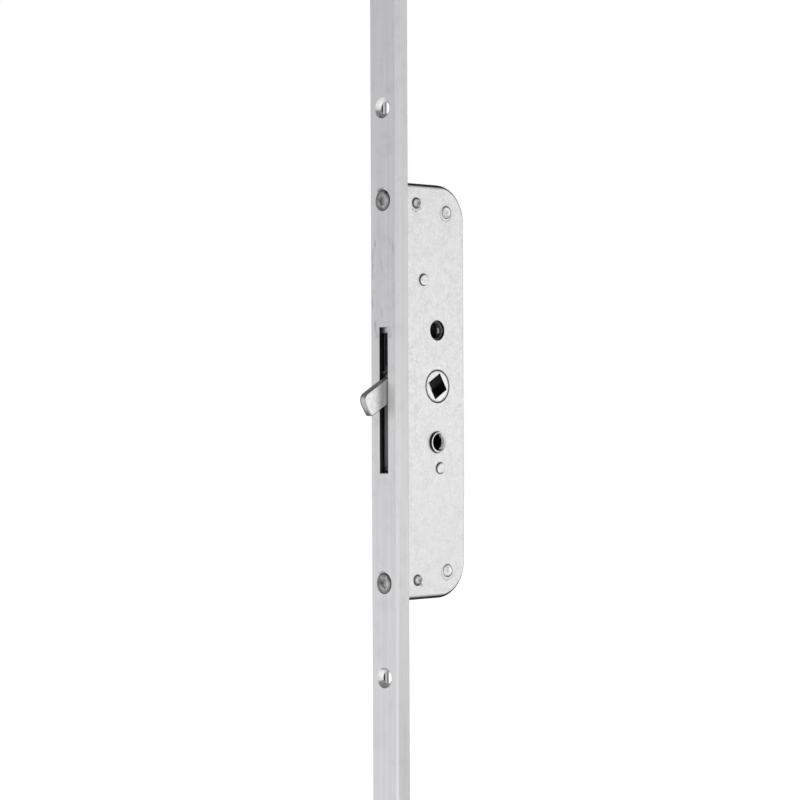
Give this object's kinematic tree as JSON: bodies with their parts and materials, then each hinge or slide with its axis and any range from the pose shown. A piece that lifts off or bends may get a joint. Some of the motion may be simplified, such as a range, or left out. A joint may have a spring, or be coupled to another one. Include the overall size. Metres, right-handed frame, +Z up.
{
  "type": "mortise cremone bolt",
  "caption": "Mortise cremone bolt: channel faceplate, flat lock case, square spindle hub, swinging bolt finger and two rods that slide apart.",
  "frame": {"origin": "centre of the spindle square, halfway through the lock case", "axes": "+X along the spindle towards the case's near side, -Y out of the faceplate's front, +Z up"},
  "size_m": [0.014, 0.0509, 0.42],
  "materials": {
    "faceplate_steel": "drawn zinc-plated steel, fine grain along its length",
    "case_steel": "galvanised sheet, finely mottled",
    "hub_steel": "bright turned face",
    "bolt_steel": "bright plated, light tumbling marks",
    "rivet_steel": "plated, set by a press",
    "screw_steel": "dull grey steel",
    "bush_steel": "bright turned steel",
    "dark_bush": "dull dark steel",
    "slide_steel": "punched steel, dark with grease",
    "lug_zinc": "die-cast, matt",
    "rod_steel": "plated, fine grain along its length",
    "guide_plastic": "moulded, black"
  },
  "bodies": {
    "case": {"bolt_pivot_pin": "rivet_steel", "case_base": "case_steel", "case_cover": "case_steel", "case_screws": "screw_steel", "corner_spacers": "slide_steel", "end_guide_rivets": "rivet_steel", "faceplate": "faceplate_steel", "front_corner_rivets": "rivet_steel", "lower_end_guide": "guide_plastic", "lower_fixing_bush": "bush_steel", "lower_guide_pin": "rivet_steel", "lower_lug_block": "lug_zinc", "rear_corner_rivets": "rivet_steel", "upper_end_guide": "guide_plastic", "upper_fixing_bush": "dark_bush", "upper_guide_pin": "rivet_steel", "upper_lug_block": "lug_zinc"},
    "hub": {"spindle_hub": "hub_steel"},
    "upper_slide": {"upper_slide_plate": "slide_steel", "upper_coupler": "lug_zinc", "upper_coupler_rivets": "slide_steel", "upper_rod": "rod_steel", "upper_rod_tip": "rod_steel", "upper_tip_pins": "rod_steel"},
    "lower_slide": {"lower_slide_plate": "slide_steel", "lower_coupler": "lug_zinc", "lower_coupler_rivets": "slide_steel", "lower_rod": "rod_steel", "lower_rod_tip": "rod_steel", "lower_tip_pins": "rod_steel"},
    "bolt": {"swing_bolt": "bolt_steel"}
  },
  "joints": [
    {"name": "hub_turn", "type": "hinge", "parent": "case", "child": "hub", "pos_m": [0, 0, 0], "axis": [1, 0, 0], "range_deg": [-31, 59]},
    {"name": "upper_rod_slide", "type": "slide", "parent": "case", "child": "upper_slide", "axis": [0, 0, 1], "range_m": [-0.00824, 0.00433]},
    {"name": "lower_rod_slide", "type": "slide", "parent": "case", "child": "lower_slide", "axis": [0, 0, 1], "range_m": [-0.00433, 0.00824]},
    {"name": "bolt_swing", "type": "hinge", "parent": "case", "child": "bolt", "pos_m": [0, -0.0185, 0.0013], "axis": [1, 0, 0], "range_deg": [-31, 59]}
  ],
  "couplings": [
    {"joint": "hub_turn", "follows": "upper_rod_slide", "rad_per_m": -125},
    {"joint": "lower_rod_slide", "follows": "upper_rod_slide", "ratio": -1},
    {"joint": "bolt_swing", "follows": "upper_rod_slide", "rad_per_m": -125}
  ]
}
